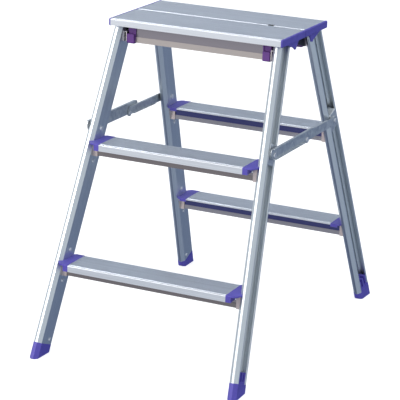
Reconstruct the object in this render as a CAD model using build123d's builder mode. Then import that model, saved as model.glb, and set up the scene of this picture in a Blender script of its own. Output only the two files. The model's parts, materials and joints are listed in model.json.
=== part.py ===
"""Double-sided folding step ladder: two mirrored frames hinged under a split platform."""
import os
from math import atan, degrees, hypot, radians, tan

from build123d import *

os.makedirs("parts", exist_ok=True)

# Driving dimensions, mm. X runs along the treads, -Y is the front, Z is up from the floor.
platform_height = 712
tread_heights = {"middle": 455, "lower": 205}
lean = 0.402                  # how far a stile runs outward in Y per mm that it drops
splay = 0.0693                # how far a stile runs outward in X per mm that it drops

stile_width = 19.7            # across the flanges, along X
stile_depth = 43.5            # of the web, square to the stile
stile_wall = 1.8
stile_bevel = 7.5             # each flange is a flat between two bevels of 45 degrees
bead_radius = 1.9             # thickened tip of each flange
top_outer_half_width = 198.2  # outer side of a stile at platform height
top_nose_reach = 100.7        # front edge of a stile's web at platform height
stile_top = 696

foot_length = 35              # square cut above the floor, measured along the nose edge
plug_length = 25
plug_slot = 8                 # each of the two slots in the plug
heel_radius = 9
toe_radius = 2

tread_depth = 77.7
nose_reach = 24.5             # how far a tread stands out in front of its stiles
nose_height = 15.2
skin = 1.8                    # wall of the tread extrusions
rib_height = 0.9
rib_pitch = 3.6
cap_width = 25
cap_front = 12                # width of the cap's wall beside the nose
cap_plate = 3.2
lip_drop = 2.6                # thin lip along a tread's back edge
beam_width = 26
beam_height = 33
beam_setback = 9              # beam's middle, forward of the stile's middle
band_height = 10              # thicker band along the bottom of a beam
band_proud = 1.2
bracket_length = 10           # sleeve that ties a beam's end to the stile
bracket_wall = 1.5

platform_half_depth = 125
platform_gap = 1.5
platform_half_length = 202.8
platform_beam_height = 53
platform_beam_half_length = 154
platform_band_height = 13
platform_lip = 8
insert_place = (122, 9)       # small insert in the rear half, as X and Y
insert_length = 16
insert_width = 8
insert_depth = 3.6
insert_rim = 1.2
insert_sink = 0.3             # its top, below the tops of the ribs
cap_face = 206.8              # outer face of the platform caps
cap_rim = 16.5
lobe_tip = -45                # lowest point of the lobe outside a stile, along Y
lobe_inset = 2.6              # the lobe's face lies behind the rim's face

socket_length = 16.5          # from the beam's end towards the stile
socket_sleeve = 3.5           # how far the socket reaches over the beam
socket_wall = 1.6
socket_height = 50
socket_step = 21              # the lower part is deeper than the upper one

hinge_height = 690
hinge_pin_radius = 4
knuckle_radius = 11
leaf = 1.8                    # thickness of a clevis leaf
clevis_inside = (174.2, 178.4)
tongue_inside = (174.8, 177.8)

pivot_height = 475
pivot_radius = 3
elbow = (4, 469)              # middle joint of a brace, as Y and Z
running_clearance = 0.05
link_sheet = 1.6
front_link_face = 219.0       # inner side of the outer brace link
rear_link_face = 216.6        # inner side of the inner brace link
front_link_top = 492
front_link_bottom = 466.3
rear_link_half = 9.8          # half its height
link_corner = 7
link_heel = 18                # rounding of the front link's lower front corner
elbow_radius = 7.5
outer_flange = 4.4            # of the front link, turned outward
inner_flange = 3              # of the rear link, turned inward


def outer_x(z):
    return top_outer_half_width + splay * (platform_height - z)


def inner_x(z):
    return outer_x(z) - stile_width


def nose_y(z):
    """Distance of the web's front edge from the middle plane at height z."""
    return top_nose_reach + lean * (platform_height - z)


lean_run = hypot(1, lean)
centre_offset = stile_depth * lean_run      # stile depth measured level


def middle_y(z):
    return nose_y(z) - centre_offset / 2


pivot_y = middle_y(pivot_height)

# The pieces below are drawn for the front right quarter. Its stile stands on this plane.
stile_axis = Vector(-splay, lean, 1).normalized()
stile_foot = Vector(inner_x(0), -nose_y(0), 0)
stile_x = (Vector(1, 0, 0) - stile_axis * stile_axis.X).normalized()
stile_plane = Plane(origin=stile_foot, x_dir=stile_x, z_dir=stile_axis)
inner_plane = Plane(origin=(inner_x(0), 0, 0), z_dir=(1, 0, splay))


def save(solid, name):
    """Labels one finished piece and writes its file."""
    solid.label = name
    export_step(solid, f"parts/{name}.step")


def quarter(solid, side, end):
    """Copies a front right piece to another quarter of the ladder."""
    with BuildPart() as copy:
        if side == "right" and end == "front":
            add(solid)
        elif side == "left" and end == "front":
            mirror(solid, about=Plane.YZ)
        elif side == "right":
            mirror(solid, about=Plane.XZ)
        else:
            add(solid, rotation=(0, 0, 180))
    return copy.part


def save_quarters(solid, pattern):
    for end in ("front", "rear"):
        for side in ("left", "right"):
            save(quarter(solid, side, end), pattern.format(end=end, side=side))


def save_pair(solid, end, name):
    """Writes one file for the left and right piece of one frame together."""
    with BuildPart() as pair:
        add(quarter(solid, "left", end))
        add(quarter(solid, "right", end))
    save(pair.part, name)


def outline_points(grow=0.0):
    """Outline of a stile's section, moved outward by grow."""
    corner = grow * tan(radians(22.5))
    near, far = -stile_bevel - grow, stile_depth + stile_bevel + grow
    left, right = stile_bevel - corner, stile_width - stile_bevel + corner
    return [
        (-grow, -corner),
        (left, near),
        (right, near),
        (stile_width + grow, -corner),
        (stile_width + grow, stile_depth + corner),
        (right, far),
        (left, far),
        (-grow, stile_depth + corner),
    ]


def cavity_points():
    """Hollow of a stile's section, open to the outer side."""
    corner = stile_wall * tan(radians(22.5))
    near, far = stile_wall - stile_bevel, stile_depth + stile_bevel - stile_wall
    left, right = stile_bevel + corner, stile_width - stile_bevel - corner
    mouth = stile_wall * 2**0.5 + 1
    return [
        (stile_wall, corner),
        (left, near),
        (right, near),
        (stile_width + 1, mouth),
        (stile_width + 1, stile_depth - mouth),
        (right, far),
        (left, far),
        (stile_wall, stile_depth - corner),
    ]


# ---- Room that a stile takes up, used to shape what touches it ----
with BuildPart() as stile_room:
    with BuildSketch(stile_plane):
        with BuildLine():
            Polyline(*outline_points(0.15), close=True)
        make_face()
    extrude(amount=stile_top / stile_axis.Z + 40)
    split(bisect_by=Plane.XY.offset(stile_top + 0.15), keep=Keep.BOTTOM)

# ---- Rivets that fix the treads, the hinge and the feet to a stile ----
tread_rivet_rise = 16         # above the tread's top
tread_rivet_drop = 48         # below it
foot_rivet_height = 30
foot_rivet_share = 0.75       # of the web's depth, from the nose edge
foot_rivet_reach = 8          # into the foot's plug
head_height = 1.6


def rivet(height, depth_share, radius, reach):
    """A rivet square to the stile's web, at a height and a share of the web's depth."""
    along = (height - stile_depth * depth_share * stile_plane.y_dir.Z) / stile_axis.Z
    spot = stile_plane.from_local_coords((0, stile_depth * depth_share, along))
    outward = Plane(origin=spot, x_dir=stile_axis, z_dir=stile_x)
    inward = Plane(origin=spot, x_dir=stile_axis, z_dir=-stile_x)
    with BuildPart() as body:
        with BuildSketch(outward):
            Circle(radius)
        extrude(amount=reach)
        with BuildSketch(inward):
            Circle(1.9 * radius)
        extrude(amount=head_height)
        chamfer(body.edges().group_by(SortBy.LENGTH)[-1].sort_by(Axis.X)[0], 0.7)
        with BuildSketch(outward.offset(stile_wall)):
            Circle(1.5 * radius)
        extrude(amount=head_height)
    return body.part


with BuildPart() as tread_rivets:
    for tread_height in tread_heights.values():
        add(rivet(tread_height - tread_rivet_drop, 0.5, 2.4, 3.2))
    add(rivet(tread_heights["lower"] + tread_rivet_rise, 0.5, 2.4, 3.2))

with BuildPart() as foot_rivets:
    add(rivet(foot_rivet_height, foot_rivet_share, 2.2, foot_rivet_reach))

# ---- Pivot of a brace link: rivet, and the block that fills the channel behind the link ----
pivot_spot = (-pivot_y, pivot_height)
lean_angle = degrees(atan(lean))


block_width = 34
block_length = 46
block_seat = 1.6              # gap between the block and the stile's web
boss_radius = 10


def pivot_pieces(face):
    """The rivet and the block for a link whose inner side lies at X = face."""
    web_x = inner_x(pivot_height)
    block_inner = web_x + stile_wall + block_seat
    with BuildPart() as pin:
        with BuildSketch(Plane.YZ.offset(web_x - 2.2)):
            with Locations(pivot_spot):
                Circle(5.6)
        extrude(amount=1.9)
        with BuildSketch(Plane.YZ.offset(web_x - 1)):
            with Locations(pivot_spot):
                Circle(pivot_radius)
        extrude(amount=face + link_sheet + 0.3 - web_x + 1)
        with BuildSketch(Plane.YZ.offset(face + link_sheet + 0.2)):
            with Locations(pivot_spot):
                Circle(6)
        extrude(amount=1.8)
        chamfer(pin.faces().sort_by(Axis.X)[-1].edges(), 0.8)
    with BuildPart() as block:
        with BuildSketch(Plane.YZ.offset(block_inner)):
            with Locations(Location(pivot_spot, -lean_angle)):
                RectangleRounded(block_width, block_length, 4)
        extrude(amount=outer_x(pivot_height) - block_inner)
        fillet(block.faces().sort_by(Axis.X)[-1].edges(), 2)
        with BuildSketch(Plane.YZ.offset(block_inner - 0.7)):
            with Locations(pivot_spot):
                Circle(boss_radius)
        extrude(amount=face - 0.2 - block_inner + 0.7)
        with BuildSketch(Plane.YZ.offset(web_x - 5)):
            with Locations(pivot_spot):
                Circle(pivot_radius)
        extrude(amount=40, mode=Mode.SUBTRACT)
    return pin.part, block.part


front_pin, front_block = pivot_pieces(front_link_face)
rear_pin, rear_block = pivot_pieces(rear_link_face)

# ---- Stile: an open channel, its web to the inside, cut square at the foot ----
with BuildPart() as stile:
    with BuildSketch(stile_plane.offset(foot_length)):
        with BuildLine():
            Polyline(*outline_points(), close=True)
        make_face()
        with BuildLine():
            Polyline(*cavity_points(), close=True)
        make_face(mode=Mode.SUBTRACT)
        bead_in = bead_radius + 0.1
        with Locations((stile_width - bead_radius, bead_in), (stile_width - bead_radius, stile_depth - bead_in)):
            Circle(bead_radius)
    extrude(amount=stile_top / stile_axis.Z)
    split(bisect_by=Plane.XY.offset(stile_top), keep=Keep.BOTTOM)
    add([tread_rivets.part, foot_rivets.part, front_pin], mode=Mode.SUBTRACT)

# ---- Foot: block under the stile's cut end, with a slotted plug inside the channel ----
with BuildPart() as foot:
    with BuildSketch(stile_plane.offset(-foot_length)):
        with BuildLine():
            Polyline(*outline_points(0.4), close=True)
        make_face()
    extrude(amount=2 * foot_length)
    split(bisect_by=Plane.XY, keep=Keep.TOP)
    sole = foot.faces().filter_by(Axis.Z).sort_by(Axis.Z)[0]
    fillet(sole.edges().filter_by(Axis.X).sort_by(Axis.Y)[-1], heel_radius)
    fillet(foot.faces().sort_by(Axis.Z)[0].edges().filter_by(Axis.X).sort_by(Axis.Y)[0], toe_radius)
    plug_gap = 0.15
    plug_side = 3 * bead_radius - 1.2
    with BuildSketch(stile_plane.offset(foot_length)):
        with Locations((stile_wall + plug_gap, plug_side)):
            Rectangle(
                stile_width - stile_wall - 1.5,
                stile_depth - 2 * plug_side,
                align=(Align.MIN, Align.MIN),
            )
    extrude(amount=plug_length)
    plug_middle = (stile_width / 2 + 5, stile_depth / 2)
    with BuildSketch(stile_plane.offset(foot_length + 5)):
        with Locations(plug_middle):
            with GridLocations(1, plug_slot + 6, 1, 2):
                Rectangle(2 * plug_slot, plug_slot)
    extrude(amount=plug_length, mode=Mode.SUBTRACT)
    add(foot_rivets.part, mode=Mode.SUBTRACT)

save_quarters(foot.part, "{end}_{side}_foot")
for end in ("front", "rear"):
    save_pair(tread_rivets.part, end, f"{end}_tread_rivets")
    save_pair(foot_rivets.part, end, f"{end}_foot_rivets")


# ---- Treads ----
def tread_section(nose, back, height, lip_drop, beam, beam_drop, band):
    """Closed outline of a tread extrusion in the YZ plane: skin, nose, back lip, beam and ribs."""
    with BuildSketch(Plane.YZ) as section:
        top = height - rib_height
        with Locations((nose, top)):
            Rectangle(back - nose, skin, align=(Align.MIN, Align.MAX))
        with Locations((nose, top)):
            Rectangle(2.4, nose_height - rib_height, align=(Align.MIN, Align.MAX))
        with Locations((nose, height - nose_height)):
            Rectangle(7, 1.6, align=(Align.MIN, Align.MIN))
        with Locations((back, top)):
            Rectangle(2, lip_drop, align=(Align.MAX, Align.MAX))
        rib_count = int((back - nose - 8) / rib_pitch)
        with Locations(((nose + back) / 2, top + rib_height / 2)):
            with GridLocations(rib_pitch, 1, rib_count, 1):
                Rectangle(rib_pitch * 0.55, rib_height)
        fillet(section.vertices().group_by(Axis.X)[0].sort_by(Axis.Y)[-1], 1.6)
    with BuildSketch(Plane.YZ) as beam_section:
        with Locations((beam, top - skin / 2)):
            Rectangle(beam_width, top - skin / 2 - height + beam_drop, align=(Align.CENTER, Align.MAX))
        with Locations((beam, height - beam_drop)):
            Rectangle(beam_width + 2 * band_proud, band, align=(Align.CENTER, Align.MIN))
        with Locations((beam, height - beam_drop + skin)):
            Rectangle(
                beam_width - 2 * skin,
                beam_drop - 2 * skin - rib_height,
                align=(Align.CENTER, Align.MIN),
                mode=Mode.SUBTRACT,
            )
    return section.sketch, beam_section.sketch


brackets = {}
for place, height in tread_heights.items():
    nose = -nose_y(height) - nose_reach
    back = nose + tread_depth
    beam_middle = -middle_y(height) - beam_setback
    metal_end = inner_x(height) - cap_width
    skin_sketch, beam_sketch = tread_section(nose, back, height, lip_drop, beam_middle, beam_height, band_height)

    with BuildPart() as tread:
        extrude(skin_sketch, amount=metal_end, both=True)
        extrude(beam_sketch, amount=outer_x(0), both=True)
        split(bisect_by=inner_plane.offset(-0.1), keep=Keep.BOTTOM)
        split(bisect_by=Plane(origin=(-inner_x(0) + 0.1, 0, 0), z_dir=(-1, 0, splay)), keep=Keep.BOTTOM)
        add([stile_room.part, quarter(stile_room.part, "left", "front")], mode=Mode.SUBTRACT)
    save(tread.part, f"front_{place}_tread")
    save(quarter(tread.part, "right", "rear"), f"rear_{place}_tread")

    # Bracket: a short sleeve round each end of the beam, under the cap and against the stile's web.
    with BuildPart() as bracket:
        beam_bottom = height - beam_height
        with BuildSketch(Plane.YZ.offset(inner_x(height) - bracket_length)):
            with Locations((beam_middle, beam_bottom - bracket_wall)):
                Rectangle(
                    beam_width + 2 * (band_proud + bracket_wall),
                    beam_height - cap_plate + bracket_wall - 0.3,
                    align=(Align.CENTER, Align.MIN),
                )
        extrude(amount=bracket_length + splay * beam_height)
        split(bisect_by=inner_plane.offset(-0.1), keep=Keep.BOTTOM)
        with BuildSketch(Plane.YZ.offset(inner_x(height) - bracket_length - 1)):
            with Locations((beam_middle, beam_bottom)):
                Rectangle(beam_width + 2 * band_proud, beam_height, align=(Align.CENTER, Align.MIN))
        extrude(amount=2 * bracket_length, mode=Mode.SUBTRACT)
        add(stile_room.part, mode=Mode.SUBTRACT)
    brackets[place] = bracket.part

    # Moulded cap: a thin plate over the end of the tread that goes round the stile's bevel,
    # a wall beside the metal nose with a web behind it, and a wall along the back edge.
    ear = (inner_x(height) + stile_bevel - 1, -nose_y(height) - (stile_bevel - 1) * lean_run)
    with BuildPart() as cap:
        with BuildSketch(Plane.XY.offset(height)):
            with BuildLine():
                front_edge = Line((metal_end + 0.1, nose), (metal_end + cap_front, nose + 0.3))
                bend = (ear[0] - 9, nose + 3.5)
                Spline(front_edge @ 1, bend, ear, tangents=[(1, 0), (0.5, 1)])
                Polyline(
                    ear,
                    (inner_x(height) - 0.2, ear[1] + (stile_bevel - 1) * lean_run),
                    (inner_x(height) - 0.2, back - 4),
                    (inner_x(height) - 4, back),
                    (metal_end + 0.1, back),
                    front_edge @ 0,
                )
            make_face()
        extrude(amount=-cap_plate)
        with BuildSketch(Plane.YZ.offset(metal_end + 0.1)):
            with Locations((nose, height)):
                Rectangle(7, nose_height, align=(Align.MIN, Align.MAX))
        extrude(amount=cap_front)
        with BuildSketch(Plane.YZ.offset(metal_end + cap_front - 2.4)):
            with Locations((nose, height)):
                Rectangle(beam_middle - beam_width / 2 - nose - 3, nose_height - 1, align=(Align.MIN, Align.MAX))
        extrude(amount=2.5)
        with BuildSketch(Plane.YZ.offset(metal_end + 0.1)):
            with Locations((back, height)):
                Rectangle(2, 8, align=(Align.MAX, Align.MAX))
        extrude(amount=cap_width - 8)
        nose_top = cap.edges().filter_by(Axis.X).group_by(Axis.Y)[0].sort_by(Axis.Z)
        fillet(nose_top[-1], 1.6)
        add([tread.part, bracket.part, stile_room.part], mode=Mode.SUBTRACT)
    save_quarters(cap.part.solids().sort_by(SortBy.VOLUME)[-1], "{end}_" + place + "_cap_{side}")

for end in ("front", "rear"):
    with BuildPart() as sleeves:
        for bracket_part in brackets.values():
            add(quarter(bracket_part, "left", end))
            add(quarter(bracket_part, "right", end))
    save(sleeves.part, f"{end}_tread_brackets")

# ---- Platform halves ----
beam_middle = -85
skin_sketch, beam_sketch = tread_section(
    -platform_half_depth,
    -platform_gap / 2,
    platform_height,
    platform_lip,
    beam_middle,
    platform_beam_height,
    platform_band_height,
)
with BuildPart() as platform:
    extrude(skin_sketch, amount=platform_half_length, both=True)
    extrude(beam_sketch, amount=platform_beam_half_length, both=True)
save(platform.part, "front_platform_tread")

# Small dished insert, pressed through the skin of the rear half beside the split.
with BuildPart() as insert:
    with BuildSketch(Plane.XY.offset(platform_height - insert_sink - insert_depth)):
        with Locations(insert_place):
            SlotOverall(insert_length, insert_width)
    extrude(amount=insert_depth)
    with BuildSketch(Plane.XY.offset(platform_height - insert_sink)):
        with Locations(insert_place):
            SlotOverall(insert_length - 2 * insert_rim, insert_width - 2 * insert_rim)
    extrude(amount=-insert_depth / 2, mode=Mode.SUBTRACT)
save(insert.part, "rear_platform_insert")

with BuildPart() as rear_platform:
    mirror(platform.part, about=Plane.XZ)
    with BuildSketch(Plane.XY.offset(platform_height)):
        with Locations(insert_place):
            SlotOverall(insert_length, insert_width)
    extrude(amount=-insert_sink - insert_depth, mode=Mode.SUBTRACT)
save(rear_platform.part, "rear_platform_tread")

# ---- Cap at each end of a platform half: rim, saddle over the stile's top, and a lobe outside it ----
rim_bottom = platform_height - cap_rim
lobe_inner = outer_x(rim_bottom) + 1.6
with BuildPart() as platform_cap:
    with BuildSketch(Plane.YZ.offset(platform_half_length + 0.1)):
        with Locations((-platform_half_depth, rim_bottom)):
            Rectangle(platform_half_depth - platform_gap / 2, cap_rim, align=(Align.MIN, Align.MIN))
    extrude(amount=cap_face - platform_half_length - 0.1)
    fillet(platform_cap.edges().filter_by(Axis.X).group_by(Axis.Y)[0], 3)
    chamfer(platform_cap.faces().sort_by(Axis.X)[-1].edges().group_by(Axis.Z)[-1], 1.4)
    with BuildSketch(Plane.XY.offset(stile_top + 0.5)):
        with Locations((inner_x(stile_top) + 1, -118)):
            Rectangle(platform_half_length - inner_x(stile_top), 112, align=(Align.MIN, Align.MIN))
    extrude(amount=platform_height - rib_height - skin - 0.1 - stile_top - 0.5)
    with BuildSketch(Plane.YZ.offset(lobe_inner)) as lobe:
        with BuildLine():
            Polyline(
                (lobe_tip - 43, rim_bottom + 2),
                (lobe_tip - 42, rim_bottom - 1.5),
                (lobe_tip - 8, rim_bottom - 13.5),
                (lobe_tip - 3, rim_bottom - 18),
                (lobe_tip + 2, rim_bottom - 17),
                (lobe_tip + 5, rim_bottom - 11.5),
                (lobe_tip + 14, rim_bottom - 1.5),
                (lobe_tip + 16, rim_bottom + 2),
                close=True,
            )
        make_face()
        fillet(lobe.vertices().group_by(Axis.Y)[0], 1)
    extrude(amount=cap_face - lobe_inset - lobe_inner)
    add([platform.part, stile_room.part], mode=Mode.SUBTRACT)
save_quarters(platform_cap.part.solids().sort_by(SortBy.VOLUME)[-1], "{end}_platform_cap_{side}")

# ---- Socket that holds each end of the platform's beam ----
socket_back = beam_middle + beam_width / 2 + 7
socket_top = socket_height - 4
with BuildPart() as socket:
    beam_end = platform_beam_half_length
    beam_bottom = platform_height - platform_beam_height
    with BuildSketch(Plane.YZ.offset(beam_end + 0.1)):
        with Locations((socket_back, beam_bottom - socket_wall)):
            Rectangle(beam_width + 16, socket_step, align=(Align.MAX, Align.MIN))
            Rectangle(beam_width + 8, socket_height, align=(Align.MAX, Align.MIN))
    extrude(amount=socket_length)
    fillet(socket.edges().filter_by(Axis.X).group_by(Axis.Z)[0], 3)
    with BuildSketch(Plane.YZ.offset(beam_end - socket_sleeve)):
        with Locations((beam_middle, beam_bottom - socket_wall)):
            Rectangle(
                beam_width + 2 * (band_proud + socket_wall),
                socket_top,
                align=(Align.CENTER, Align.MIN),
            )
    extrude(amount=socket_sleeve + 0.2)
    with BuildSketch(Plane.XZ.offset(200)):
        with BuildLine():
            Polyline(
                (beam_end - 20, beam_bottom - 5),
                (beam_end + 0.1, beam_bottom - 5),
                (beam_end - socket_sleeve, beam_bottom + socket_top),
                (beam_end - 20, beam_bottom + socket_top),
                close=True,
            )
        make_face()
    extrude(amount=-200, mode=Mode.SUBTRACT)
    add(platform.part, mode=Mode.SUBTRACT)
save_quarters(socket.part.solids().sort_by(SortBy.VOLUME)[-1], "{end}_beam_socket_{side}")


# ---- Hinge under the split: a clevis on the front stile, a tongue on the rear stile ----
plate_end = -105              # where a hinge plate ends on its stile, along Y
plate_top = hinge_height - 7
plate_bottom = hinge_height - 29
arm_bottom = hinge_height - 30
pad_reach = 8
pin_head_radius = 7
pin_head = 1.6
hinge_rivet_spots = ((0.42, 668), (0.68, 680))      # share of the web's depth, and height
clevis_low, clevis_high = clevis_inside
tongue_low, tongue_high = tongue_inside


def hinge_arm(plane_x, amount):
    """One hinge plate from the stile to the pin, drawn on the front side."""
    with BuildPart() as arm:
        with BuildSketch(Plane.YZ.offset(plane_x)):
            with BuildLine():
                Polyline(
                    (plate_end, plate_top),
                    (plate_end, plate_bottom),
                    (-70, arm_bottom),
                    (-24, hinge_height - 17),
                    (0, hinge_height - knuckle_radius),
                    (0, hinge_height + knuckle_radius),
                    (-60, hinge_height + 9),
                    close=True,
                )
            make_face()
            with Locations((0, hinge_height)):
                Circle(knuckle_radius)
        extrude(amount=amount)
    return arm.part


def disc(low_x, spot, radius, thickness):
    """A round piece whose axis is X."""
    with BuildPart() as piece:
        with BuildSketch(Plane.YZ.offset(low_x)):
            with Locations(spot):
                Circle(radius)
        extrude(amount=thickness)
    return piece.part


def stile_pad(low_x):
    """Thickening between a hinge plate and the stile's sloping inner side."""
    with BuildPart() as pad:
        with BuildSketch(Plane.YZ.offset(low_x)):
            with BuildLine():
                Polyline(
                    (plate_end, plate_top),
                    (plate_end, plate_bottom),
                    (-72, arm_bottom),
                    (-66, hinge_height - 2),
                    (-78, hinge_height + 2),
                    close=True,
                )
            make_face()
        extrude(amount=pad_reach)
        add(stile_room.part, mode=Mode.SUBTRACT)
    return pad.part.solids().sort_by(Axis.X)[0]


def hinge_rivets(low_x):
    """The rivets that hold a hinge plate, whose inner side lies at low_x, to the stile's web."""
    with BuildPart() as group:
        for share, height in hinge_rivet_spots:
            shank_end = inner_x(height) + stile_wall + 0.6
            spot = (-nose_y(height) + centre_offset * share, height)
            add(disc(low_x - 1.2, spot, 4, 1.2))
            add(disc(low_x - 0.5, spot, 2, shank_end - low_x + 0.5))
            add(disc(shank_end - 0.1, spot, 3.4, 1.4))
    return group.part


with BuildPart() as hinge_pin:
    add(disc(clevis_low - leaf - pin_head, (0, hinge_height), pin_head_radius, pin_head))
    add(disc(clevis_low - leaf - 0.5, (0, hinge_height), hinge_pin_radius, clevis_high - clevis_low + 2 * leaf + 1))
    add(disc(clevis_high + leaf, (0, hinge_height), pin_head_radius, pin_head))

clevis_rivets = hinge_rivets(clevis_high)
tongue_rivets = hinge_rivets(tongue_low)

with BuildPart() as clevis:
    add(hinge_arm(clevis_low - leaf, leaf))
    add(hinge_arm(clevis_high, leaf))
    add(stile_pad(clevis_high + 0.2))
    with BuildSketch(Plane.XY.offset(hinge_height - 9)):
        with Locations((clevis_low - leaf, plate_end + 1)):
            Rectangle(clevis_high - clevis_low + 2 * leaf, 40, align=(Align.MIN, Align.MIN))
    extrude(amount=leaf)
    add([hinge_pin.part, clevis_rivets, stile_room.part], mode=Mode.SUBTRACT)

with BuildPart() as tongue:
    add(hinge_arm(tongue_low, tongue_high - tongue_low))
    add(stile_pad(tongue_high - 0.2))
    add(disc(tongue_low - 1, (0, hinge_height), hinge_pin_radius + running_clearance, 6), mode=Mode.SUBTRACT)
    add(tongue_rivets, mode=Mode.SUBTRACT)

for side in ("left", "right"):
    save(quarter(clevis.part, side, "front"), f"front_hinge_clevis_{side}")
    save(quarter(tongue.part, side, "rear"), f"rear_hinge_tongue_{side}")

with BuildPart() as hinge_pins:
    add(hinge_pin.part)
    mirror(hinge_pin.part, about=Plane.YZ)
save(hinge_pins.part, "hinge_pins")

for end, rivets, pin, block in (
    ("front", clevis_rivets, front_pin, front_block),
    ("rear", tongue_rivets, rear_pin, rear_block),
):
    save_pair(rivets, end, f"{end}_hinge_rivets")
    save_pair(pin, end, f"{end}_brace_pivot_rivets")
    save_pair(block, end, f"{end}_brace_pivot_blocks")
    with BuildPart() as drilled_stile:
        add(stile.part)
        add(rivets, mode=Mode.SUBTRACT)
    for side in ("left", "right"):
        save(quarter(drilled_stile.part, side, end), f"{end}_{side}_stile")

# ---- Brace links: two channels back to back, straight when the ladder stands open ----
front_link_start = -pivot_y - 19
front_link_end = elbow[0] + 40
with BuildPart() as front_link:
    with BuildSketch(Plane.YZ.offset(front_link_face)) as link_web:
        with Locations((front_link_start, front_link_bottom)):
            Rectangle(
                front_link_end - front_link_start,
                front_link_top - front_link_bottom,
                align=(Align.MIN, Align.MIN),
            )
        fillet(link_web.vertices().group_by(Axis.Y)[0].sort_by(Axis.X)[0], link_heel)
        fillet(link_web.vertices().group_by(Axis.X)[-1], link_corner)
        fillet(link_web.vertices().group_by(Axis.Y)[-1].sort_by(Axis.X)[0], link_corner)
        with Locations(elbow):
            Circle(elbow_radius)
        with Locations(pivot_spot, elbow):
            Circle(pivot_radius + running_clearance, mode=Mode.SUBTRACT)
    extrude(amount=link_sheet)
    with BuildSketch(Plane.YZ.offset(front_link_face + link_sheet - 0.1)):
        with Locations((front_link_start + link_corner, front_link_top)):
            flange_run = front_link_end - front_link_start - 2 * link_corner
            Rectangle(flange_run, link_sheet, align=(Align.MIN, Align.MAX))
        with Locations((front_link_start + link_heel, front_link_bottom)):
            flange_run = elbow[0] - 2 * elbow_radius - front_link_start - link_heel
            Rectangle(flange_run, link_sheet, align=(Align.MIN, Align.MIN))
    extrude(amount=outer_flange)

rear_link_start = elbow[0] - elbow_radius
rear_link_end = pivot_y + 12
with BuildPart() as rear_link:
    with BuildSketch(Plane.YZ.offset(rear_link_face)):
        with Locations(((rear_link_start + rear_link_end) / 2, pivot_height)):
            RectangleRounded(rear_link_end - rear_link_start, 2 * rear_link_half, rear_link_half - 0.5)
        with Locations(elbow):
            Circle(elbow_radius)
        with Locations((pivot_y, pivot_height)):
            Circle(pivot_radius + running_clearance, mode=Mode.SUBTRACT)
    extrude(amount=link_sheet)
    with BuildSketch(Plane.YZ.offset(rear_link_face + 0.1)):
        flange_start = elbow[0] + 2 * elbow_radius
        flange_run = pivot_y - stile_depth - 3 - flange_start
        for edge, side_align in (
            (pivot_height + rear_link_half, Align.MAX),
            (pivot_height - rear_link_half, Align.MIN),
        ):
            with Locations((flange_start, edge)):
                Rectangle(flange_run, link_sheet, align=(Align.MIN, side_align))
    extrude(amount=-inner_flange)

# The elbow's rivet: its head and shank turn with the outer link, its tail with the inner one.
with BuildPart() as elbow_rivet:
    with BuildSketch(Plane.YZ.offset(front_link_face + link_sheet)):
        with Locations(elbow):
            Circle(6)
    extrude(amount=2)
    chamfer(elbow_rivet.faces().sort_by(Axis.X)[-1].edges(), 0.8)
    with BuildSketch(Plane.YZ.offset(front_link_face)):
        with Locations(elbow):
            Circle(pivot_radius + running_clearance)
    extrude(amount=link_sheet + 0.2)

with BuildPart() as elbow_tail:
    with BuildSketch(Plane.YZ.offset(rear_link_face)):
        with Locations(elbow):
            Circle(5)
    extrude(amount=-1.8)
    chamfer(elbow_tail.faces().sort_by(Axis.X)[0].edges(), 0.7)

for piece, name in (
    (front_link, "brace_front_link_{side}"),
    (rear_link, "brace_rear_link_{side}"),
    (elbow_rivet, "brace_elbow_rivet_{side}"),
    (elbow_tail, "brace_elbow_tail_{side}"),
):
    for side in ("left", "right"):
        save(quarter(piece.part, side, "front"), name.format(side=side))
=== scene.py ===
"""Looks of the double-sided folding step ladder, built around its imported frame."""

import json
from math import cos, radians, sin

import bpy
from mathutils import Matrix, Vector


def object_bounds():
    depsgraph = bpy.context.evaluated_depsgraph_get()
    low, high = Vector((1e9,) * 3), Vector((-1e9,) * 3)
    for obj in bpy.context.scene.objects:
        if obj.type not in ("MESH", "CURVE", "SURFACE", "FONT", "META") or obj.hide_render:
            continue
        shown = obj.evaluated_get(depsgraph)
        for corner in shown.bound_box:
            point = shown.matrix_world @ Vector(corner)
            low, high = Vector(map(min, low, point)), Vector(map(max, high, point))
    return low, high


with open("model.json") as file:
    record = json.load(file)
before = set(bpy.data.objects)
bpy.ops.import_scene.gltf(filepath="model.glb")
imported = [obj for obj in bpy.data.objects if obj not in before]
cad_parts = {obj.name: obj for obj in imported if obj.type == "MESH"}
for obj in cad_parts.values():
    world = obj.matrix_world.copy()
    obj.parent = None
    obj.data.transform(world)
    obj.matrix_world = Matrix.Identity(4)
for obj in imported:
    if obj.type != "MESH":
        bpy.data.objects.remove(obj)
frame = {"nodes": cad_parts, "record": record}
cad_low, cad_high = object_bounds()

nodes = frame["nodes"]
slot_of = {row["node"]: row["material_slot"] for row in frame["record"]["subparts"]}

# How far the stiles run outward per metre that they drop, along Y and along X.
LEAN = 0.402
SPLAY = 0.0693
WEB_REACH = 0.2286            # of a stile's web along X, at the floor

# Heights of the tread tops, how far their back lip and their nose reach below them, and where the
# thicker band along the bottom of a beam begins.
TREAD_TOPS = (0.205, 0.455, 0.712)
LIP_DROP = 0.0038
NOSE_DROP = 0.0156
BAND_DROP = 0.0230
PLATFORM_BAND_DROP = 0.0400
UNDER_PLATFORM = 0.60         # everything above this height belongs to the platform
INSIDE_STILES = 0.174         # half of the clear width between the platform's ends

# Relief of the surfaces: how deep a full swing of a bump map counts.
BUMP_DEPTH = 0.0002


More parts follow.
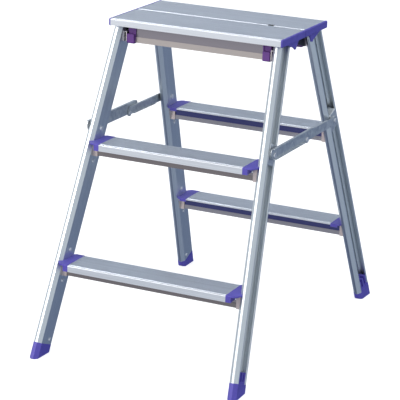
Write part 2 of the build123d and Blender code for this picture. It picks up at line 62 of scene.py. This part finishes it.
# ---- Small shader toolkit ----
class Shader:
    """A material's node tree, with short calls that add and join nodes."""

    def __init__(self, name):
        self.material = bpy.data.materials.new(name)
        self.material.use_nodes = True
        self.tree = self.material.node_tree
        self.surface = self.tree.nodes["Principled BSDF"]

    def add(self, kind, inputs=None, **settings):
        made = self.tree.nodes.new(kind)
        for key, value in settings.items():
            setattr(made, key, value)
        for key, value in (inputs or {}).items():
            self.feed(made.inputs[key], value)
        return made

    def feed(self, socket, value):
        if isinstance(value, bpy.types.NodeSocket):
            self.tree.links.new(value, socket)
        else:
            socket.default_value = value

    def math(self, operation, first, second=0.0):
        made = self.add("ShaderNodeMath", operation=operation)
        self.feed(made.inputs[0], first)
        self.feed(made.inputs[1], second)
        return made.outputs[0]

    def place(self):
        """A point of the surface in the ladder's own frame, in metres."""
        return self.add("ShaderNodeTexCoord").outputs["Object"]

    def split(self, vector):
        """The X, Y and Z of a vector, by name."""
        return self.add("ShaderNodeSeparateXYZ", {"Vector": vector}).outputs

    def stretched(self, vector, scale):
        return self.add("ShaderNodeMapping", {"Vector": vector, "Scale": scale}).outputs[0]

    def noise(self, vector, scale, detail=4.0, roughness=0.55):
        inputs = {"Vector": vector, "Scale": scale, "Detail": detail, "Roughness": roughness}
        return self.add("ShaderNodeTexNoise", inputs).outputs["Fac"]

    def between(self, factor, low, high, start=0.0, end=1.0):
        """Maps factor, from start to end, onto low to high."""
        inputs = {"Value": factor, "From Min": start, "From Max": end, "To Min": low, "To Max": high}
        return self.add("ShaderNodeMapRange", inputs).outputs["Result"]

    def mix(self, factor, first, second):
        made = self.add("ShaderNodeMix", data_type="RGBA")
        self.feed(made.inputs["Factor"], factor)
        self.feed(made.inputs["A"], first)
        self.feed(made.inputs["B"], second)
        return made.outputs["Result"]

    def bump(self, height, strength):
        inputs = {"Height": height, "Strength": strength, "Distance": BUMP_DEPTH}
        self.feed(self.surface.inputs["Normal"], self.add("ShaderNodeBump", inputs).outputs[0])

    def set(self, **inputs):
        for key, value in inputs.items():
            self.feed(self.surface.inputs[key.replace("_", " ")], value)


def along_stile(shader):
    """Coordinates whose Z runs along the stiles of all four corners, and whose X and Y run across them."""
    spot = shader.split(shader.place())
    outward_x = shader.math("ABSOLUTE", spot["X"])
    across_x = shader.math("ADD", outward_x, shader.math("MULTIPLY", spot["Z"], SPLAY))
    outward_y = shader.math("ABSOLUTE", spot["Y"])
    across_y = shader.math("ADD", outward_y, shader.math("MULTIPLY", spot["Z"], LEAN))
    inputs = {"X": across_x, "Y": across_y, "Z": spot["Z"]}
    return shader.add("ShaderNodeCombineXYZ", inputs).outputs[0]


def edge_wear(shader, reach=0.0012):
    """One on worn edges, zero elsewhere."""
    bevel = shader.add("ShaderNodeBevel", {"Radius": reach}, samples=4)
    geometry = shader.add("ShaderNodeNewGeometry")
    facing = shader.add("ShaderNodeVectorMath", operation="DOT_PRODUCT")
    shader.feed(facing.inputs[0], bevel.outputs[0])
    shader.feed(facing.inputs[1], geometry.outputs["Normal"])
    return shader.between(facing.outputs["Value"], 1.0, 0.0, start=0.80, end=0.98)


def open_sky(shader, reach):
    """How much of the surroundings a point sees within reach: one in the open, zero in a deep hollow."""
    return shader.add("ShaderNodeAmbientOcclusion", {"Distance": reach}, samples=8).outputs["AO"]


def paint_channel_shade(shader, colour):
    """Paints shade into the hollow of a stile's channel: the less of its surroundings a point sees, the more
    it takes the shade colour.
    """
    # painted shade colour for the channel's hollow, laid on where little of the surroundings is seen
    hollow = (0.30, 0.34, 0.40, 1.0)
    recess = shader.between(open_sky(shader, reach=0.008), 0.20, 0.0, start=0.12, end=0.62)
    return shader.mix(recess, colour, hollow)


def shade_beams(shader, colour):
    """Paints shade onto a tread's beam below its skin and nose: mauve on its outer side, navy on the side
    that faces the other frame, and a paler, warmer shade on the band under the platform.
    """
    # Painted shade colours for the beams: navy and its band on the inner side, mauve and its band on the
    # outer side, a paler warmer shade for the band under the platform.
    navy = (0.065, 0.07, 0.19, 1.0)
    navy_band = (0.31, 0.30, 0.34, 1.0)
    mauve = (0.28, 0.26, 0.29, 1.0)
    mauve_band = (0.24, 0.215, 0.22, 1.0)
    platform_band = (0.50, 0.45, 0.43, 1.0)
    blur = 0.0003

    def past(value, edge):
        """Zero before an edge and one after it."""
        return shader.between(value, 0.0, 1.0, start=edge, end=edge + blur)

    spot = shader.split(shader.place())
    gaps = [shader.math("ABSOLUTE", shader.math("SUBTRACT", spot["Z"], top)) for top in TREAD_TOPS]
    drop = shader.math("MINIMUM", shader.math("MINIMUM", gaps[0], gaps[1]), gaps[2])
    platform = past(spot["Z"], UNDER_PLATFORM)
    band = shader.mix(platform, past(drop, BAND_DROP), past(drop, PLATFORM_BAND_DROP))

    normal = shader.split(shader.add("ShaderNodeTexCoord").outputs["Normal"])
    outward = shader.math("MULTIPLY", normal["Y"], shader.math("SIGN", spot["Y"]))
    inner_side = shader.between(outward, 1.0, 0.0, start=-0.6, end=-0.2)
    outer_side = shader.math("SUBTRACT", 1.0, inner_side)
    inner_shade = shader.math("MULTIPLY", inner_side, past(drop, LIP_DROP))
    outer_shade = shader.math("MULTIPLY", outer_side, past(drop, NOSE_DROP))

    # Painted shade: below the back lip on the inner side, and below the nose on the outer side, the beam
    # takes these shade colours.
    inner_colour = shader.mix(band, navy, navy_band)
    outer_band = shader.mix(platform, mauve_band, platform_band)
    outer_colour = shader.mix(band, mauve, outer_band)
    return shader.mix(outer_shade, shader.mix(inner_shade, colour, inner_colour), outer_colour)


# ---- Materials ----
def extruded_aluminium(name, tint, streak_vector, streak_scale, paint_shade):
    """Satin extrusion with fine die lines along its length, faint handling marks and painted shade in its
    recesses, laid on by the given shading function.
    """
    handled = (0.66, 0.69, 0.74, 1.0)
    in_lines = 0.84
    shader = Shader(name)
    vector = streak_vector(shader)
    lines = shader.noise(shader.stretched(vector, streak_scale), 1.0, detail=3.0, roughness=0.6)
    cloud = shader.noise(shader.place(), 9.0, detail=3.0)
    speck = shader.noise(shader.place(), 900.0, detail=1.0)

    darker = tuple(channel * in_lines for channel in tint[:3]) + (1.0,)
    colour = shader.mix(shader.between(lines, 0.0, 1.0, start=0.3, end=0.7), darker, tint)
    marks = shader.between(cloud, 0.0, 0.3, start=0.45, end=0.75)
    # the given shading function paints shade into the recesses here
    colour = paint_shade(shader, shader.mix(marks, colour, handled))

    line_roughness = shader.between(lines, 0.30, 0.42, start=0.25, end=0.75)
    roughness = shader.math("ADD", line_roughness, shader.between(cloud, -0.03, 0.05))
    height = shader.math("ADD", lines, shader.math("MULTIPLY", speck, 0.35))
    shader.bump(height, strength=0.10)
    shader.set(Base_Color=colour, Metallic=0.95, Roughness=roughness)
    return shader.material


def violet_plastic():
    """Moulded polypropylene, satin, with a fine grain and paler scuffs on its edges.

    Under the platform and inside its ends, as at the sockets of the platform's beams, the plastic is painted
    a darker, warmer purple as shade.
    """
    violet, paler_violet = (0.09, 0.07, 0.44, 1.0), (0.12, 0.095, 0.52, 1.0)
    scuffed = (0.30, 0.27, 0.66, 1.0)
    under_platform_shade = (0.15, 0.045, 0.27, 1.0)
    shader = Shader("violet_plastic")
    grain = shader.noise(shader.place(), 1500.0, detail=2.0, roughness=0.6)
    cloud = shader.noise(shader.place(), 35.0, detail=4.0)
    scratch_vector = shader.stretched(shader.place(), (60.0, 420.0, 90.0))
    scratch = shader.noise(scratch_vector, 1.0, detail=2.0)

    base = shader.mix(shader.between(cloud, 0.0, 1.0, start=0.3, end=0.7), violet, paler_violet)
    scratched = shader.between(scratch, 0.0, 0.75, start=0.35, end=0.75)
    colour = shader.mix(shader.math("MULTIPLY", edge_wear(shader), scratched), base, scuffed)

    # Painted shade: above the platform's underside height and inside its ends, the plastic takes a darker,
    # warmer purple.
    spot = shader.split(shader.place())
    platform = shader.math("GREATER_THAN", spot["Z"], UNDER_PLATFORM)
    inside = shader.math("LESS_THAN", shader.math("ABSOLUTE", spot["X"]), INSIDE_STILES)
    colour = shader.mix(shader.math("MULTIPLY", platform, inside), colour, under_platform_shade)

    shader.bump(shader.math("ADD", grain, shader.math("MULTIPLY", cloud, 0.8)), strength=0.16)
    shader.set(Base_Color=colour, Roughness=shader.between(grain, 0.34, 0.52, start=0.3, end=0.7))
    return shader.material


def spangled_metal(name, tint, dark, scale, bracket_tint=None):
    """Zinc-plated or cast metal with a cloudy spangle.

    With a bracket_tint, what lies on the inner side of a stile's web has that colour instead.
    """
    shader = Shader(name)
    cells = shader.add("ShaderNodeTexVoronoi", {"Vector": shader.place(), "Scale": scale}).outputs["Color"]
    spangle = shader.add("ShaderNodeSeparateColor", {"Color": cells}).outputs[0]
    cloud = shader.noise(shader.place(), 40.0, detail=5.0)
    spangle_share = shader.math("MULTIPLY", spangle, 0.45)
    blend = shader.math("ADD", spangle_share, shader.math("MULTIPLY", cloud, 0.6))
    colour = shader.mix(shader.between(blend, 0.0, 1.0, start=0.2, end=0.8), dark, tint)
    if bracket_tint:
        across = shader.split(along_stile(shader))["X"]
        colour = shader.mix(shader.math("LESS_THAN", across, WEB_REACH), colour, bracket_tint)
    shader.bump(shader.noise(shader.place(), 500.0, detail=3.0), strength=0.12)
    roughness = shader.between(blend, 0.34, 0.52, start=0.2, end=0.8)
    shader.set(Base_Color=colour, Metallic=0.9, Roughness=roughness)
    return shader.material


def dark_plastic():
    """Dull moulding with a fine grain."""
    black, grey = (0.012, 0.016, 0.018, 1.0), (0.028, 0.034, 0.036, 1.0)
    shader = Shader("dark_plastic")
    grain = shader.noise(shader.place(), 1200.0, detail=2.0)
    shader.bump(grain, strength=0.2)
    shader.set(
        Base_Color=shader.mix(grain, black, grey),
        Roughness=shader.between(grain, 0.45, 0.62, start=0.3, end=0.7),
    )
    return shader.material


def hinge_steel_in_shade():
    """Near-black painted shade on the broad sides of the hinge plates, which lie deep in the shadow under the
    platform, and bright bare metal on their cut edges.
    """
    # painted shade: near-black for the broad sides, standing in for the deep shadow under the platform
    shade_black, paler_shade_black = (0.010, 0.010, 0.022, 1.0), (0.022, 0.022, 0.045, 1.0)
    bare = (0.92, 0.84, 0.86, 1.0)
    shader = Shader("hinge_steel")
    cloud = shader.noise(shader.place(), 60.0, detail=4.0)
    base = shader.mix(cloud, shade_black, paler_shade_black)
    normal = shader.split(shader.add("ShaderNodeTexCoord").outputs["Normal"])
    sideways = shader.math("ABSOLUTE", normal["X"])
    on_edge = shader.between(sideways, 1.0, 0.0, start=0.3, end=0.7)
    cut = shader.math("MULTIPLY", on_edge, shader.between(cloud, 0.7, 1.0))
    shader.bump(shader.noise(shader.place(), 700.0, detail=3.0), strength=0.2)
    shader.set(Base_Color=shader.mix(cut, base, bare), Metallic=cut, Roughness=0.42)
    return shader.material


materials = {
    "tread_aluminium": extruded_aluminium(
        "tread_aluminium",
        tint=(0.82, 0.85, 0.90, 1.0),
        streak_vector=Shader.place,
        streak_scale=(3.0, 900.0, 900.0),
        paint_shade=shade_beams,
    ),
    "stile_aluminium": extruded_aluminium(
        "stile_aluminium",
        tint=(0.80, 0.85, 0.88, 1.0),
        streak_vector=along_stile,
        streak_scale=(900.0, 900.0, 3.0),
        paint_shade=paint_channel_shade,
    ),
    "violet_plastic": violet_plastic(),
    "dark_plastic": dark_plastic(),
    "brace_steel": spangled_metal(
        "brace_steel", tint=(0.74, 0.78, 0.80, 1.0), dark=(0.52, 0.56, 0.60, 1.0), scale=160.0
    ),
    "hinge_steel": hinge_steel_in_shade(),
    "rivet_steel": spangled_metal(
        "rivet_steel", tint=(0.95, 0.96, 0.97, 1.0), dark=(0.74, 0.76, 0.80, 1.0), scale=500.0
    ),
    "spacer_aluminium": spangled_metal(
        "spacer_aluminium",
        tint=(0.78, 0.81, 0.83, 1.0),
        dark=(0.58, 0.61, 0.64, 1.0),
        scale=90.0,
        bracket_tint=(0.62, 0.53, 0.52, 1.0),
    ),
}

for name, node in nodes.items():
    material = materials[slot_of[name]]
    node.data.materials.clear()
    node.data.materials.append(material)


# ---- Stage, light and camera ----
def stage_floor():
    """A floor that the camera sees and that lights nothing."""
    half = 12.0
    white, grey = (1.0, 1.0, 1.0, 1.0), (0.6, 0.6, 0.6, 1.0)
    mesh = bpy.data.meshes.new("floor")
    corners = [(-half, -half, 0), (half, -half, 0), (half, half, 0), (-half, half, 0)]
    mesh.from_pydata(corners, [], [(0, 1, 2, 3)])
    floor = bpy.data.objects.new("floor", mesh)
    bpy.context.scene.collection.objects.link(floor)
    shader = Shader("floor")
    shader.set(Base_Color=grey, Roughness=0.9, Emission_Color=white, Emission_Strength=0.72)
    floor.data.materials.append(shader.material)
    floor.visible_glossy = False
    floor.visible_diffuse = False


def area_light(name, place, aim, size, power, colour=(1.0, 1.0, 1.0)):
    data = bpy.data.lights.new(name, "AREA")
    data.shape = "DISK"
    data.size = size
    data.energy = power
    data.color = colour
    light = bpy.data.objects.new(name, data)
    light.location = place
    light.rotation_mode = "QUATERNION"
    light.rotation_quaternion = (Vector(aim) - Vector(place)).to_track_quat("-Z", "Y")
    bpy.context.scene.collection.objects.link(light)


def studio_world():
    """A tent: a broad bright panel in front, smaller ones at the left and low right, blue-black elsewhere."""
    world = bpy.data.worlds.new("studio")
    world.use_nodes = True
    tree = world.node_tree
    background = tree.nodes["Background"]
    direction = tree.nodes.new("ShaderNodeTexCoord").outputs["Generated"]

    def facing(axis):
        made = tree.nodes.new("ShaderNodeVectorMath")
        made.operation = "DOT_PRODUCT"
        tree.links.new(direction, made.inputs[0])
        made.inputs[1].default_value = axis
        return made.outputs["Value"]

    def combine(operation, first, second, clamp=False):
        made = tree.nodes.new("ShaderNodeMath")
        made.operation = operation
        made.use_clamp = clamp
        for socket, value in zip(made.inputs, (first, second)):
            if isinstance(value, float):
                socket.default_value = value
            else:
                tree.links.new(value, socket)
        return made.outputs[0]

    def panel(axis, power, strength):
        """A soft bright patch around an axis; a higher power makes it smaller."""
        spot = combine("POWER", combine("MAXIMUM", facing(axis), 0.0), power)
        return combine("MULTIPLY", spot, strength)

    slope = combine("ADD", facing((0.15, 0.0, 0.50)), 0.29)
    left = panel((-0.95, 0.30, 0.0), power=6.0, strength=0.65)
    low_right = panel((0.80, -0.35, -0.50), power=4.0, strength=0.40)
    sides = combine("ADD", left, low_right)
    front = combine("ADD", panel((-0.43, -0.88, 0.20), power=2.0, strength=0.90), slope)
    bright = combine("ADD", front, sides, clamp=True)

    ramp = tree.nodes.new("ShaderNodeValToRGB")
    tree.links.new(bright, ramp.inputs["Fac"])
    stops = ramp.color_ramp.elements
    stops[0].color = (0.035, 0.055, 0.13, 1.0)
    stops[1].color = (1.0, 0.99, 0.98, 1.0)
    stops.new(0.25).color = (0.17, 0.22, 0.34, 1.0)
    stops.new(0.50).color = (0.42, 0.49, 0.58, 1.0)
    tree.links.new(ramp.outputs["Color"], background.inputs["Color"])
    background.inputs["Strength"].default_value = 1.0
    bpy.context.scene.world = world


def camera():
    """The camera of the photograph, fitted to the edges of the ladder."""
    place = (1.76958, -3.81648, 1.57197)
    yaw, pitch, roll = radians(25.27), radians(-16.87), radians(1.805)
    forward = Vector((-sin(yaw) * cos(pitch), cos(yaw) * cos(pitch), sin(pitch)))
    level_right = Vector((cos(yaw), sin(yaw), 0))
    level_up = level_right.cross(forward)
    right = cos(roll) * level_right + sin(roll) * level_up
    up = cos(roll) * level_up - sin(roll) * level_right
    turn = Matrix((right, up, -forward)).transposed().to_4x4()
    data = bpy.data.cameras.new("camera")
    data.sensor_width = 36.0
    data.lens = 175.34
    data.clip_start = 0.05
    data.clip_end = 60.0
    eye = bpy.data.objects.new("camera", data)
    eye.matrix_world = Matrix.Translation(place) @ turn
    bpy.context.scene.collection.objects.link(eye)
    bpy.context.scene.camera = eye


stage_floor()
studio_world()
middle = (cad_low + cad_high) / 2
cool_white = (0.86, 0.92, 1.0)
area_light("key", (-2.2, -3.2, 2.0), middle, size=1.8, power=42)
area_light("top", (0.4, -0.6, 3.6), middle, size=1.6, power=14, colour=cool_white)
camera()
bpy.context.scene.view_settings.view_transform = "Standard"
